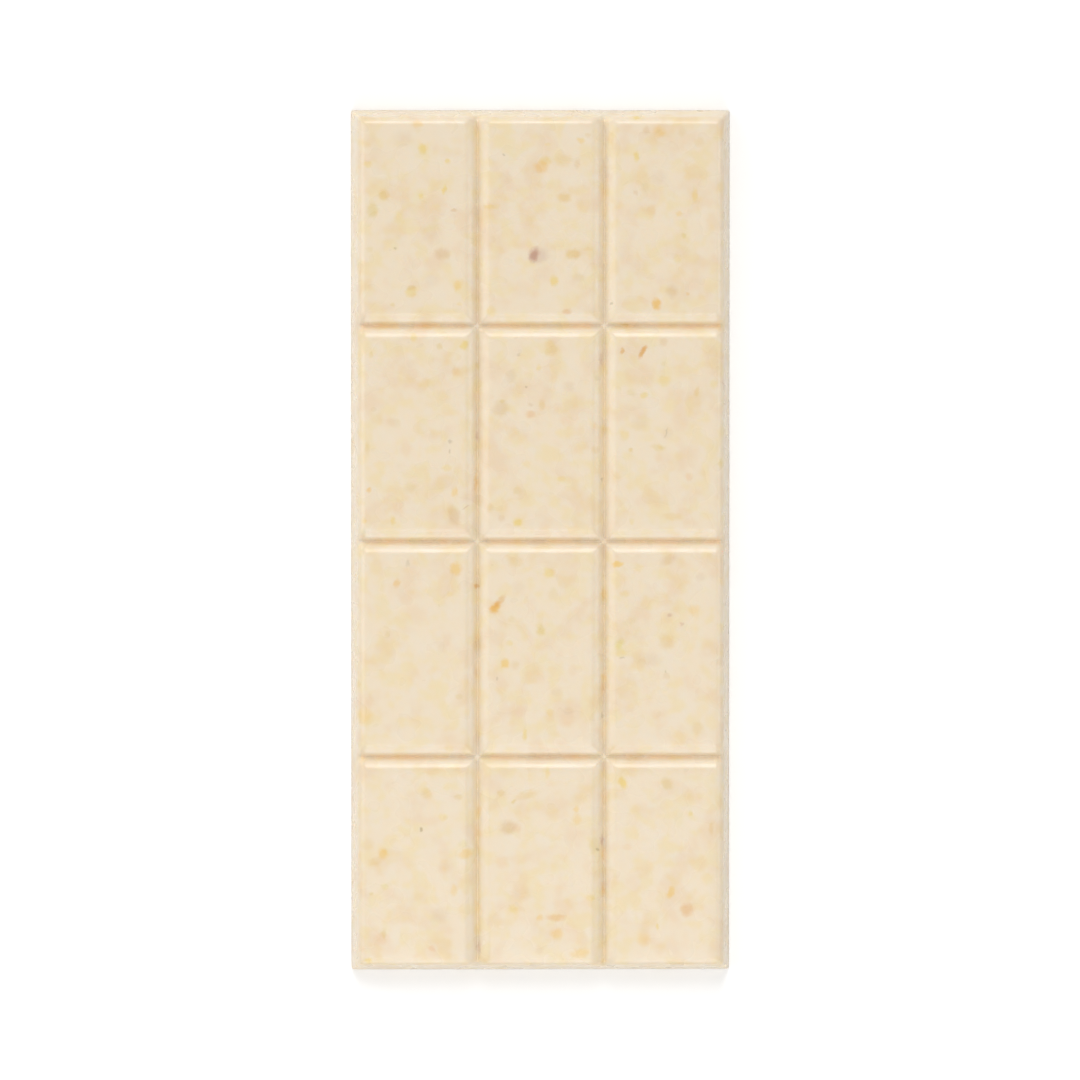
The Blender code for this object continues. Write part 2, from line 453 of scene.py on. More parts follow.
    Crumb(-4.2, -8.4, 2.2, 1.9, Tint.MAUVE, 0.2),
    Crumb(-6.7, -22.6, 1.7, 1.5, Tint.AMBER, 0.7, 60.0),
    Crumb(-4.8, -22.9, 1.5, 1.5, Tint.TAN, 0.3),
    Crumb(-5.8, -18.9, 1.1, 0.9, Tint.YELLOW, 0.35),
    Crumb(-5.5, -14.4, 1.1, 1.1, Tint.OLIVE, 0.3),
    Crumb(0.0, -16.5, 1.4, 1.9, Tint.OLIVE, 0.6),
    Crumb(-4.2, -31.2, 2.6, 2.6, Tint.PEACH, 0.2),
    Crumb(-3.0, -35.8, 0.9, 1.9, Tint.YELLOW, 0.6),
    Crumb(1.5, -5.9, 1.9, 1.7, Tint.YELLOW, 0.55),
    Crumb(2.3, -9.7, 1.7, 2.0, Tint.OLIVE, 0.3),
    Crumb(5.9, -23.8, 1.5, 1.9, Tint.PEACH, 0.25),
    Crumb(2.9, -27.9, 1.7, 1.5, Tint.MAUVE, 0.25),
    Crumb(1.7, -31.7, 1.3, 1.3, Tint.YELLOW, 0.35),
    Crumb(4.9, -33.1, 2.8, 2.4, Tint.PEACH, 0.4),
    Crumb(5.1, -31.4, 1.7, 1.3, Tint.MAUVE, 0.35),
    Crumb(11.6, -9.7, 0.8, 2.4, Tint.ORANGE, 0.45),
    Crumb(11.6, -25.1, 0.9, 1.3, Tint.AMBER, 0.5),
    Crumb(11.5, -27.2, 0.9, 2.2, Tint.PEACH, 0.45),
    Crumb(-8.1, -25.4, 0.5, 0.5, Tint.GREY, 0.35),
    Crumb(11.4, -32.2, 0.5, 1.1, Tint.GREY, 0.5),
    # Third row, right segment.
    Crumb(14.3, -4.2, 1.9, 1.1, Tint.AMBER, 0.75),
    Crumb(18.1, -4.8, 1.7, 1.5, Tint.YELLOW, 0.3),
    Crumb(23.4, -3.5, 3.0, 1.5, Tint.TAN, 0.4, 30.0),
    Crumb(29.6, -6.6, 1.7, 1.5, Tint.MAUVE, 0.3),
    Crumb(15.6, -9.6, 1.5, 1.1, Tint.YELLOW, 0.35),
    Crumb(28.3, -12.7, 2.3, 1.9, Tint.AMBER, 0.4),
    Crumb(23.9, -13.6, 0.9, 0.7, Tint.BROWN, 0.5),
    Crumb(16.5, -14.8, 2.6, 1.5, Tint.OLIVE, 0.25, 30.0),
    Crumb(26.1, -15.3, 0.7, 0.7, Tint.BROWN, 0.4),
    Crumb(23.4, -18.5, 2.6, 2.8, Tint.HONEY, 0.45),
    Crumb(14.6, -19.0, 1.9, 1.5, Tint.LIME, 0.6, 60.0),
    Crumb(14.9, -20.7, 1.7, 1.5, Tint.YELLOW, 0.4),
    Crumb(20.1, -21.9, 3.7, 2.2, Tint.MAUVE, 0.3),
    Crumb(23.2, -24.9, 1.1, 1.1, Tint.TAN, 0.3),
    Crumb(29.1, -34.7, 2.0, 2.0, Tint.HONEY, 0.45),
    Crumb(33.3, -22.3, 1.5, 1.3, Tint.TAN, 0.3),
    Crumb(21.5, -32.0, 2.2, 1.5, Tint.PEACH, 0.2),
    Crumb(15.1, -21.6, 0.9, 0.3, Tint.GREY, 0.45),
    Crumb(23.2, -24.1, 0.3, 0.6, Tint.GREY, 0.45),
    # Near row, left segment.
    Crumb(-21.2, -46.7, 1.9, 1.9, Tint.HONEY, 0.5),
    Crumb(-15.2, -47.4, 1.5, 1.1, Tint.OLIVE, 0.35),
    Crumb(-18.2, -51.1, 1.5, 1.3, Tint.YELLOW, 0.4),
    Crumb(-20.4, -51.9, 3.0, 1.7, Tint.PEACH, 0.25),
    Crumb(-14.5, -56.1, 1.5, 1.3, Tint.LIME, 0.35),
    Crumb(-14.0, -57.9, 2.6, 1.5, Tint.AMBER, 0.5, 15.0),
    Crumb(-29.3, -57.9, 1.7, 1.9, Tint.AMBER, 0.65),
    Crumb(-30.6, -59.3, 2.6, 1.5, Tint.HONEY, 0.45, 15.0),
    Crumb(-32.2, -56.2, 2.2, 2.2, Tint.HONEY, 0.3),
    Crumb(-18.1, -60.2, 1.7, 2.4, Tint.PEACH, 0.25),
    Crumb(-29.0, -64.0, 1.3, 1.1, Tint.LIME, 0.4),
    Crumb(-31.5, -65.3, 0.7, 0.7, Tint.OLIVE, 0.5),
    Crumb(-16.1, -64.7, 1.3, 1.9, Tint.AMBER, 0.4),
    Crumb(-18.6, -69.2, 3.0, 2.6, Tint.MAUVE, 0.3),
    Crumb(-29.2, -72.8, 1.1, 1.7, Tint.OLIVE, 0.5),
    Crumb(-29.8, -73.8, 2.6, 1.9, Tint.PEACH, 0.4, 45.0),
    Crumb(-20.3, -75.5, 1.3, 1.1, Tint.PEACH, 0.6),
    Crumb(-32.0, -77.8, 1.3, 1.1, Tint.YELLOW, 0.65),
    Crumb(-11.5, -75.4, 0.7, 2.2, Tint.BROWN, 0.4),
    Crumb(-11.5, -50.1, 0.7, 2.2, Tint.ORANGE, 0.35),
    Crumb(-22.2, -53.4, 0.5, 0.8, Tint.GREY, 0.75),
    # Near row, middle segment.
    Crumb(-7.4, -46.6, 1.5, 1.1, Tint.OLIVE, 0.45),
    Crumb(-5.1, -48.2, 1.1, 0.6, Tint.OLIVE, 0.6, 30.0),
    Crumb(-2.6, -47.0, 3.7, 1.3, Tint.HONEY, 0.45, 15.0),
    Crumb(-6.1, -53.0, 2.6, 2.4, Tint.TAN, 0.65),
    Crumb(-4.4, -53.1, 1.5, 1.5, Tint.PEACH, 0.35),
    Crumb(-7.3, -59.4, 2.0, 2.2, Tint.PEACH, 0.35),
    Crumb(-3.4, -65.3, 3.7, 2.6, Tint.PEACH, 0.2),
    Crumb(-5.1, -68.2, 1.7, 1.5, Tint.YELLOW, 0.4),
    Crumb(-0.2, -69.8, 1.1, 1.1, Tint.AMBER, 0.45),
    Crumb(-0.4, -75.9, 1.5, 1.3, Tint.TAN, 0.3),
    Crumb(1.2, -43.0, 0.9, 1.7, Tint.YELLOW, 0.4),
    Crumb(6.6, -49.7, 0.9, 1.1, Tint.AMBER, 0.5),
    Crumb(6.7, -51.5, 1.5, 1.9, Tint.AMBER, 0.35),
    Crumb(10.1, -56.3, 2.2, 2.6, Tint.OLIVE, 0.3),
    Crumb(9.2, -66.1, 1.5, 1.1, Tint.YELLOW, 0.4),
    Crumb(2.8, -69.8, 3.2, 1.1, Tint.PEACH, 0.75),
    Crumb(3.0, -72.8, 2.0, 1.7, Tint.AMBER, 0.5),
    Crumb(7.3, -76.4, 3.2, 1.7, Tint.AMBER, 0.45, 15.0),
    Crumb(11.4, -55.5, 0.7, 2.0, Tint.BROWN, 0.7),
    Crumb(11.6, -57.8, 0.7, 2.6, Tint.ORANGE, 0.35),
    Crumb(11.7, -61.5, 0.7, 1.9, Tint.OLIVE, 0.4),
    Crumb(11.6, -64.6, 0.8, 2.6, Tint.ORANGE, 0.5),
    Crumb(11.6, -78.4, 1.1, 1.5, Tint.AMBER, 0.6),
    Crumb(10.6, -57.2, 0.5, 0.5, Tint.GREY, 0.6),
    # Near row, right segment.
    Crumb(15.2, -44.8, 1.4, 2.0, Tint.YELLOW, 0.8, 15.0),
    Crumb(23.4, -45.0, 2.2, 1.9, Tint.OLIVE, 0.5, -45.0),
    Crumb(27.8, -50.5, 0.7, 1.1, Tint.YELLOW, 0.4),
    Crumb(25.5, -51.4, 1.7, 3.0, Tint.LIME, 0.2),
    Crumb(31.6, -53.4, 0.9, 1.9, Tint.HONEY, 0.45),
    Crumb(33.2, -48.5, 0.9, 2.2, Tint.PEACH, 0.35),
    Crumb(24.1, -65.2, 1.1, 1.9, Tint.AMBER, 0.6, -15.0),
    Crumb(27.1, -68.4, 2.4, 2.2, Tint.RUST, 0.5, 15.0),
    Crumb(21.7, -71.5, 0.7, 1.1, Tint.YELLOW, 0.55),
    Crumb(19.1, -73.9, 2.2, 2.4, Tint.AMBER, 0.35),
    Crumb(30.9, -62.6, 2.2, 2.0, Tint.YELLOW, 0.3),
    Crumb(16.0, -56.7, 1.7, 0.9, Tint.PEACH, 0.3),
)


@dataclass(frozen=True)
class CrumbLayer:
    """Crumbs of one kind, scattered through the bar, that show most on its walls and back.

    Args:
        spacing_mm: the mean distance between two crumbs' places.
        share: the part of those places that holds a crumb.
        smallest: the smallest radius, as a part of the spacing.
        largest: the largest radius, as a part of the spacing.
        strength: how full a crumb's stain is at most.
        softness: the part of its radius over which a crumb fades out.
        tints: the stains that the crumbs take.
        at_front: the part of the strength that is left on the front, where crumbs are placed one by one.
        stray_mm: how far the outline strays from round.
        shift_mm: moves the layer against the others.
        notch: the size of the notches in the outline, as a part of the spacing.
    """

    spacing_mm: float
    share: float
    smallest: float
    largest: float
    strength: float
    softness: float
    tints: tuple[Tint, ...]
    at_front: float
    stray_mm: float
    shift_mm: float
    notch: float = 0.45


@dataclass(frozen=True)
class Cloud:
    """Soft patches in which the chocolate's ground colour is a little different.

    Args:
        tint: what the ground colour is multiplied by where a patch is full.
        size_mm: the size of the patches.
        detail: how finely their outlines break up.
        start: the value of the noise at which a patch starts.
        full: the value of the noise at which it is full.
        shift_mm: moves these patches against the others.
    """

    tint: Colour
    size_mm: float
    detail: float
    start: float
    full: float
    shift_mm: Triple = (0.0, 0.0, 0.0)


@dataclass(frozen=True)
class ChocolateFinish:
    """Ivory chocolate with a soft gloss, cloudy patches, crumbs at and under its surface, and painted light
    and shade in its grooves.

    Args:
        cream: the ground colour.
        rosy: the first and broadest of the patches in it.
        buttery: the yellowest of the patches.
        milky: the palest of the patches.
        lengthwise_painted_shading: painted light and shade on the floor of a lengthwise groove, which
            brightens and warms it; the colour is multiplied by it there.
        crosswise_painted_shading: painted light and shade on the floor of a crosswise groove, which warms
            it; the colour is multiplied by it there.
        painted_shading_depth: the depth in a groove at which that painted light and shade starts, as a part
            of the whole depth.
        painted_shading_patch_mm: the size of the patches in which the painted light and shade is fuller.
        faintest_painted_shading: how full the painted light and shade is between those patches.
        crumb_depth_mm: how far a placed crumb reaches into the chocolate.
        crumb_spread: how far a crumb's stain reaches before it has faded out, against the crumb's extent.
        notch_mm: the size of the notches in a placed crumb's outline.
        notch_reach_mm: how deep those notches are at most.
        wall_top_mm: how far below the front the scattered crumbs show in full.
        front_edge_mm: how far below the front they are still as faint as on it.
        smoothest: the lowest roughness.
        roughest: the highest roughness.
        gloss_patch_mm: the size of the patches in which the roughness changes.
        refraction: the index of refraction.
        subsurface: the part of the light that goes into the chocolate.
        subsurface_radius_mm: how far red, green and blue light go there.
    """

    cream: Colour = (0.735, 0.624, 0.468, 1.0)
    rosy: Cloud = Cloud((0.979, 0.928, 0.880, 1.0), 4.6, 2.0, 0.54, 0.30)
    buttery: Cloud = Cloud((0.996, 0.973, 0.835, 1.0), 2.8, 1.5, 0.44, 0.70, (53.0, 17.0, 5.0))
    milky: Cloud = Cloud((0.993, 1.011, 1.045, 1.0), 3.6, 1.5, 0.46, 0.70, (11.0, 71.0, 29.0))
    # Painted light and shade: the groove floors are brightened and warmed by depth, standing in for the
    # light and shade that fall in the grooves.
    lengthwise_painted_shading: Colour = (1.080, 1.045, 0.945, 1.0)
    crosswise_painted_shading: Colour = (1.100, 0.960, 0.810, 1.0)
    painted_shading_depth: float = 0.35
    painted_shading_patch_mm: float = 5.0
    faintest_painted_shading: float = 0.2
    crumb_depth_mm: float = 3.0
    crumb_spread: float = 1.6
    notch_mm: float = 0.9
    notch_reach_mm: float = 0.45
    wall_top_mm: float = 2.6
    front_edge_mm: float = 1.4
    smoothest: float = 0.25
    roughest: float = 0.32
    gloss_patch_mm: float = 5.0
    refraction: float = 1.46
    subsurface: float = 0.20
    subsurface_radius_mm: Triple = (1.4, 0.9, 0.5)

    def layers(self) -> list[CrumbLayer]:
        """Lists the kinds of crumb that are scattered through the bar.

        Returns:
            The kinds, from the largest and faintest to the smallest and sharpest.
        """
        deep = (Tint.PEACH, Tint.HONEY, Tint.MAUVE)
        fruit = (Tint.YELLOW, Tint.HONEY, Tint.AMBER, Tint.TAN)
        peel = (Tint.YELLOW, Tint.ORANGE, Tint.OLIVE, Tint.RUST)
        return [
            CrumbLayer(5.2, 0.50, 0.18, 0.32, 0.18, 0.9, deep, at_front=0.4, stray_mm=1.2, shift_mm=0.0),
            CrumbLayer(3.4, 0.30, 0.16, 0.30, 0.28, 0.9, fruit, at_front=0.2, stray_mm=0.5, shift_mm=31.0),
            CrumbLayer(2.9, 0.10, 0.12, 0.22, 0.40, 0.9, peel, at_front=0.0, stray_mm=0.3, shift_mm=67.0),
        ]

    def ground(self, shader: Shader, place: Socket) -> Socket:
        """Mixes the cloudy ground colour of the chocolate.

        Args:
            shader: the material to add to.
            place: the place on the bar in millimetres.

        Returns:
            The ground colour.
        """
        colour: object = self.cream
        for cloud in (self.rosy, self.buttery, self.milky):
            shifted = shader.vector("ADD", place, cloud.shift_mm)
            patches = shader.noise(shifted, cloud.size_mm, cloud.detail).outputs["Fac"]
            amount = shader.ramp(patches, cloud.start, cloud.full)
            colour = shader.mix(amount, colour, cloud.tint, "MULTIPLY")
        return colour

    def scatter(
        self, shader: Shader, place: Socket, ground: Socket, layer: CrumbLayer, front: Socket
    ) -> Socket:
        """Stains the ground colour with one kind of crumb.

        Args:
            shader: the material to add to.
            place: the place on the bar in millimetres.
            ground: the colour below the crumbs.
            layer: the kind of crumb.
            front: 1 on the front and 0 on the walls and the back.

        Returns:
            The colour with the crumbs.
        """
        shifted = shader.vector("ADD", place, (layer.shift_mm,) * 3)
        notches = shader.noise(shifted, layer.notch * layer.spacing_mm, detail=1.0)
        ragged = shader.stray(shifted, notches, layer.stray_mm)
        cells = shader.add(
            "ShaderNodeTexVoronoi",
            {"voronoi_dimensions": "3D", "feature": "F1", "distance": "EUCLIDEAN"},
            {"Vector": ragged, "Scale": 1.0 / layer.spacing_mm, "Randomness": 1.0},
        )
        chance = shader.add("ShaderNodeSeparateColor", None, {"Color": cells.outputs["Color"]}).outputs
        radius = shader.ramp(chance[1], 0.0, 1.0, layer.smallest, layer.largest, smooth=False)
        core = shader.math("MULTIPLY", radius, 1.0 - layer.softness)
        body = shader.ramp(cells.outputs["Distance"], core, radius, 1.0, 0.0)
        present = shader.math("LESS_THAN", chance[0], layer.share)
        front_strength = layer.strength * layer.at_front
        strength = shader.ramp(front, 0.0, 1.0, layer.strength, front_strength, smooth=False)
        amount = shader.math("MULTIPLY", shader.math("MULTIPLY", body, present), strength)
        stops = [(index / len(layer.tints), tint.value) for index, tint in enumerate(layer.tints)]
        return shader.mix(amount, ground, shader.colours(chance[2], stops), "MULTIPLY")

    def lay_crumb(
        self, shader: Shader, places: TurnedPlaces, crumb: Crumb, face_height_mm: float
    ) -> Socket:
        """Wires how full one placed crumb's stain is.

        Args:
            shader: the material to add to.
            places: the place on the bar in millimetres.
            crumb: the crumb.
            face_height_mm: the height of the front face, which the crumb lies in.

        Returns:
            The stain's strength at the place.
        """
        spread = self.crumb_spread / 2.0
        radii = (spread * crumb.length_mm, spread * crumb.width_mm, self.crumb_depth_mm)
        unturn = Matrix.Rotation(-math.radians(crumb.turn_degrees), 3, "Z")
        middle = unturn @ Vector((crumb.across_mm, crumb.along_mm, face_height_mm))
        scale = tuple(1.0 / radius for radius in radii)
        shift = tuple(-part / radius for part, radius in zip(middle, radii))
        own = shader.vector("MULTIPLY_ADD", places.read(crumb.turn_degrees), scale, shift)
        return shader.ramp(shader.length(own), 1.0 - crumb.softness, 1.0, crumb.strength, 0.0)

    def lay_crumbs(
        self, shader: Shader, place: Socket, placed: Iterable[Crumb], face_height_mm: float
    ) -> object:
        """Mixes the stains of the placed crumbs.

        Args:
            shader: the material to add to.
            place: the place on the bar in millimetres.
            placed: the crumbs.
            face_height_mm: the height of the front face.

        Returns:
            The colour that the chocolate's own is multiplied by.
        """
        notches = shader.noise(place, self.notch_mm, detail=2.0, roughness=0.6)
        places = TurnedPlaces(shader, shader.stray(place, notches, self.notch_reach_mm))
        stain: object = WHITE
        for crumb in placed:
            amount = self.lay_crumb(shader, places, crumb, face_height_mm)
            stain = shader.mix(amount, stain, crumb.tint.value, "MULTIPLY")
        return stain

    def paint_groove_shading(self, shader: Shader, place: Socket, colour: Socket) -> Socket:
        """Paints light and shade into the lower parts of the grooves, here more and there less: their
        colour is brightened and warmed by depth.

        Args:
            shader: the material to add to.
            place: the place on the bar in millimetres.
            colour: the colour so far.

        Returns:
            The colour with painted light and shade in the grooves.
        """
        patches = shader.noise(place, self.painted_shading_patch_mm, detail=2.0).outputs["Fac"]
        fullness = shader.ramp(patches, start=0.35, end=0.65, low=self.faintest_painted_shading, high=1.0)
        # Painted light and shade: each groove's colour is multiplied by its painted shading, fuller the
        # deeper it lies.
        for attribute, tint in (
            (MouldedBar.LENGTHWISE_DEPTH, self.lengthwise_painted_shading),
            (MouldedBar.CROSSWISE_DEPTH, self.crosswise_painted_shading),
        ):
            depth = shader.add("ShaderNodeAttribute", {"attribute_name": attribute}).outputs["Fac"]
            sunk = shader.ramp(depth, self.painted_shading_depth, 1.0, smooth=False)
            colour = shader.mix(shader.math("MULTIPLY", sunk, fullness), colour, tint, "MULTIPLY")
        return colour

    def polish(self, shader: Shader, place: Socket) -> None:
        """Sets the gloss, and how far light goes into the chocolate.

        Args:
            shader: the material to set.
            place: the place on the bar in millimetres.
        """
        patches = shader.noise(place, self.gloss_patch_mm, detail=1.0).outputs["Fac"]
        roughness = shader.ramp(patches, start=0.3, end=0.7, low=self.smoothest, high=self.roughest)
        surface = shader.surface
        shader.feed(surface.inputs["Roughness"], roughness)
        surface.inputs["Metallic"].default_value = 0.0
        surface.inputs["IOR"].default_value = self.refraction
        surface.inputs["Subsurface Weight"].default_value = self.subsurface
        surface.inputs["Subsurface Radius"].default_value = self.subsurface_radius_mm
        surface.inputs["Subsurface Scale"].default_value = MM

    def make(self, placed: Iterable[Crumb], face_height_mm: float) -> bpy.types.Material:
        """Makes the chocolate's material.

        Args:
            placed: the crumbs that are placed one by one on the front.
            face_height_mm: the height of the front face.

        Returns:
            The material.
        """
        shader = Shader("white_chocolate")
        coordinate = shader.add("ShaderNodeTexCoord").outputs["Object"]
        place = shader.vector("MULTIPLY", coordinate, (1.0 / MM,) * 3)
        height = shader.add("ShaderNodeSeparateXYZ", None, {"Vector": place}).outputs["Z"]
        front = shader.ramp(height, face_height_mm - self.wall_top_mm, face_height_mm - self.front_edge_mm)
        colour = self.ground(shader, place)
        for layer in self.layers():
            colour = self.scatter(shader, place, colour, layer, front)
        stain = self.lay_crumbs(shader, place, placed, face_height_mm)
        colour = shader.mix(1.0, colour, stain, "MULTIPLY")
        # The grooves get painted light and shade over the chocolate's colour.
        shader.feed(shader.surface.inputs["Base Color"], self.paint_groove_shading(shader, place, colour))
        self.polish(shader, place)
        return shader.material


def leave_edit_mode_with_nothing_selected() -> None:
    """Leaves edit mode and deselects every object."""
    if bpy.context.object and bpy.context.object.mode != "OBJECT":
        bpy.ops.object.mode_set(mode="OBJECT")
    bpy.ops.object.select_all(action="DESELECT")


def select_only(piece: bpy.types.Object) -> None:
    """Makes one object the only selected one, and the active one.

    Args:
        piece: the object.
    """
    leave_edit_mode_with_nothing_selected()
    piece.select_set(True)
    bpy.context.view_layer.objects.active = piece


def add_box(name: str, low: Vector, high: Vector) -> bpy.types.Object:
    """Adds a box primitive at its size and place, which are then put into its mesh.

    Args:
        name: the object's name.
        low: the lowest corner.
        high: the highest corner.

    Returns:
        The box, with its object at the origin.
    """
    leave_edit_mode_with_nothing_selected()
    bpy.ops.mesh.primitive_cube_add(size=1.0, location=(low + high) / 2.0, scale=high - low)
    box = bpy.context.object
    box.name = box.data.name = name
    bpy.ops.object.transform_apply(location=True, rotation=True, scale=True)
    return box


def select_faces(piece: bpy.types.Object, wanted: Callable[[bmesh.types.BMFace], bool]) -> None:
    """Selects some faces in edit mode, and nothing else.

    Args:
        piece: the object in edit mode.
        wanted: tells for a face whether it is selected.
    """
    bpy.ops.mesh.select_mode(type="FACE")
    bpy.ops.mesh.select_all(action="DESELECT")
    form = bmesh.from_edit_mesh(piece.data)
    for face in form.faces:
        face.select_set(wanted(face))
    bmesh.update_edit_mesh(piece.data)


def bisect(axis: int, place: float) -> None:
    """Cuts the whole mesh in edit mode along a plane.

    Args:
        axis: 0 where the plane faces along X, and 1 where it faces along Y.
        place: where the plane crosses that axis.
    """
    normal = Vector((0.0, 0.0, 0.0))
    normal[axis] = 1.0
    bpy.ops.mesh.select_all(action="SELECT")
    bpy.ops.mesh.bisect(plane_co=normal * place, plane_no=normal, threshold=ON_PLANE)


@dataclass(frozen=True)
class Division:
    """A row of equal strips, centred on zero, with a groove between each two.

    Args:
        axis: 0 where the strips lie side by side along X, and 1 where they do along Y.
        count: how many strips there are.
        pitch: the distance from one groove to the next.
    """

    axis: int
    count: int
    pitch: float

    def grooves(self) -> list[float]:
        """Returns the places of the grooves' middles."""
        return [(groove - (self.count - 2) / 2.0) * self.pitch for groove in range(self.count - 1)]

    def middles(self) -> list[float]:
        """Returns the places of the strips' middles."""
        return [(strip - (self.count - 1) / 2.0) * self.pitch for strip in range(self.count)]

    def from_groove(self, place: float) -> float:
        """Returns how far a place along the axis is from the middle of the nearest groove."""
        return min(abs(place - groove) for groove in self.grooves())

    def strip_at(self, place: float) -> int:
        """Returns the number of the strip at a place along the axis."""
        return min(max(math.floor(place / self.pitch + self.count / 2.0), 0), self.count - 1)


@dataclass
class MouldedBar:
    """The bar itself: a drafted slab, cut by grooves, with soft rims and a skin that isn't quite even.

    Args:
        low: the lowest corner of its box.
        high: the highest corner of its box.
        finish: its chocolate.
        placed_crumbs: the crumbs that show at the front.
        rim_height: the height of the upright foot of its walls.
        wall_draft: how far the walls lean in above the foot.
        columns: how the lengthwise grooves part it.
        rows: how the crosswise grooves part it.
        groove_depth: how deep the grooves are.
        groove_floor: how wide they are at the floor.
        groove_mouth: how wide they are at the front.
        cutter_overrun: how far a groove's cutter reaches past the bar.
        rounding: how far the rims of the segments are rounded.
        corner_rounding: how far the corners of the bar and of the segments are rounded.
        rounding_segments: how many faces there are across a rounding.
        sharpest_unrounded: the angle past which an edge is rounded.
        grid_step: how far apart the lines are that cut the flat faces up.
        ripple: how deep the ripple in the skin is.
        ripple_size: how wide its waves are.
        smooth_angle: the angle up to which faces are shaded smooth.
    """

    LENGTHWISE_DEPTH = "lengthwise_groove_depth"
    CROSSWISE_DEPTH = "crosswise_groove_depth"

    # How far from the grooves' depth a point still counts as on their floor, as a part of that depth.
    DEPTH_SLACK = 0.1
    # How far round its middle a crossing reaches, as a part of a groove's width.
    CROSSING_REACH = 0.6
    # How far in from the bar's sides its corners reach, in drafts of the wall.
    CORNER_REACH = 1.5

    low: Vector
    high: Vector
    finish: ChocolateFinish = field(default_factory=ChocolateFinish)
    placed_crumbs: tuple[Crumb, ...] = FRONT_CRUMBS
    rim_height: float = 0.0006
    wall_draft: float = 0.0015
    columns: Division = Division(0, 3, 0.0235)
    rows: Division = Division(1, 4, 0.0400)
    groove_depth: float = 0.00145
    groove_floor: float = 0.00014
    groove_mouth: float = 0.0023
    cutter_overrun: float = 0.002
    rounding: float = 0.0013
    corner_rounding: float = 0.0005
    rounding_segments: int = 7
    sharpest_unrounded: float = math.radians(40.0)
    grid_step: float = 0.0018
    ripple: float = 0.00004
    ripple_size: float = 0.006
    smooth_angle: float = math.radians(35.0)

    def build(self) -> bpy.types.Object:
        """Models the bar from a primitive box.

        Returns:
            The bar's object.
        """
        slab = self.cast_slab()
        self.cut_grooves(slab)
        self.join_floors(slab)
        self.round_rims(slab)
        self.score(slab)
        self.ripple_skin(slab)
        self.mark_grooves(slab)
        return slab

    def cast_slab(self) -> bpy.types.Object:
        """Makes the slab: an upright foot with a block on it whose walls lean in.

        Returns:
            The slab.
        """
        foot_top = Vector((self.high.x, self.high.y, self.low.z + self.rim_height))
        slab = add_box("moulded_bar", self.low, foot_top)
        bpy.ops.object.mode_set(mode="EDIT")
        select_faces(slab, lambda face: face.normal.z > 0.5)
        raised = self.high.z - foot_top.z
        bpy.ops.mesh.inset(thickness=self.wall_draft, depth=raised, use_even_offset=True)
        bpy.ops.object.mode_set(mode="OBJECT")
        return slab

    def groove_cutter(self, low: Vector, high: Vector, sideways: int) -> bpy.types.Object:
        """Makes a bar with a groove's section.

        Args:
            low: the cutter's lowest corner, at the groove's floor.
            high: the cutter's highest corner.
            sideways: 0 where the groove's walls face along X, and 1 where they face along Y.

        Returns:
            The cutter.
        """
        cutter = add_box("groove_cutter", low, high)
        bpy.ops.object.mode_set(mode="EDIT")
        select_faces(cutter, lambda face: face.normal.z < -0.5)
        narrowing = [1.0, 1.0, 1.0]
        narrowing[sideways] = self.groove_floor / (high[sideways] - low[sideways])
        bpy.ops.transform.resize(value=narrowing, center_override=(low + high) / 2.0)
        bpy.ops.object.mode_set(mode="OBJECT")
        return cutter

    def cut_grooves(self, slab: bpy.types.Object) -> None:
        """Cuts the lengthwise and the crosswise grooves.

        Args:
            slab: the bar.
        """
        floor = self.high.z - self.groove_depth
        top = self.high.z + self.cutter_overrun
        opening = (self.groove_mouth - self.groove_floor) / self.groove_depth
        half = (self.groove_floor + opening * (top - floor)) / 2.0
        for division in (self.columns, self.rows):
            for groove in division.grooves():
                low, high = self.low.copy(), self.high.copy()
                low[division.axis], high[division.axis] = groove - half, groove + half
                low[1 - division.axis] -= self.cutter_overrun
                high[1 - division.axis] += self.cutter_overrun
                low.z, high.z = floor, top
                self.take_away(slab, self.groove_cutter(low, high, division.axis))

    def take_away(self, slab: bpy.types.Object, cutter: bpy.types.Object) -> None:
        """Cuts a shape out of the slab and removes the cutter.

        Args:
            slab: the bar.
            cutter: the shape to cut out.
        """
        select_only(slab)
        cut = slab.modifiers.new("groove", "BOOLEAN")
        cut.operation = "DIFFERENCE"
        cut.solver = "EXACT"
        cut.object = cutter
        bpy.ops.object.modifier_apply(modifier=cut.name)
        bpy.data.objects.remove(cutter, do_unlink=True)

    def join_floors(self, slab: bpy.types.Object) -> None:
        """Joins the floors of the grooves where they cross, so that the corners there take their rounding.

        Args:
            slab: the bar.
        """
        select_only(slab)
        bpy.ops.object.mode_set(mode="EDIT")
        for division in (self.columns, self.rows):
            for middle in division.middles():
                bisect(division.axis, middle)
        bpy.ops.mesh.select_mode(type="EDGE")
        bpy.ops.mesh.select_all(action="DESELECT")
        form = bmesh.from_edit_mesh(slab.data)
        for edge in form.edges:
            edge.select_set(all(self.is_at_crossing(vertex.co) for vertex in edge.verts))
        bmesh.update_edit_mesh(slab.data)
        bpy.ops.mesh.dissolve_edges(use_verts=False)
        bpy.ops.object.mode_set(mode="OBJECT")

    def depth_of(self, place: Vector) -> float:
        """Returns how deep a place lies: 0 at the front, and 1 on the floor of a groove."""
        return (self.high.z - place.z) / self.groove_depth

    def is_at_crossing(self, place: Vector) -> bool:
        """True for a place on the floor where two grooves cross."""
        on_floor = abs(self.depth_of(place) - 1.0) < self.DEPTH_SLACK
        return on_floor and self.is_near_crossing(place, self.CROSSING_REACH * self.groove_floor)

    def is_near_crossing(self, place: Vector, reach: float) -> bool:
        """True for a place that lies within reach of the middles of two grooves that cross."""
        return max(self.columns.from_groove(place.x), self.rows.from_groove(place.y)) < reach

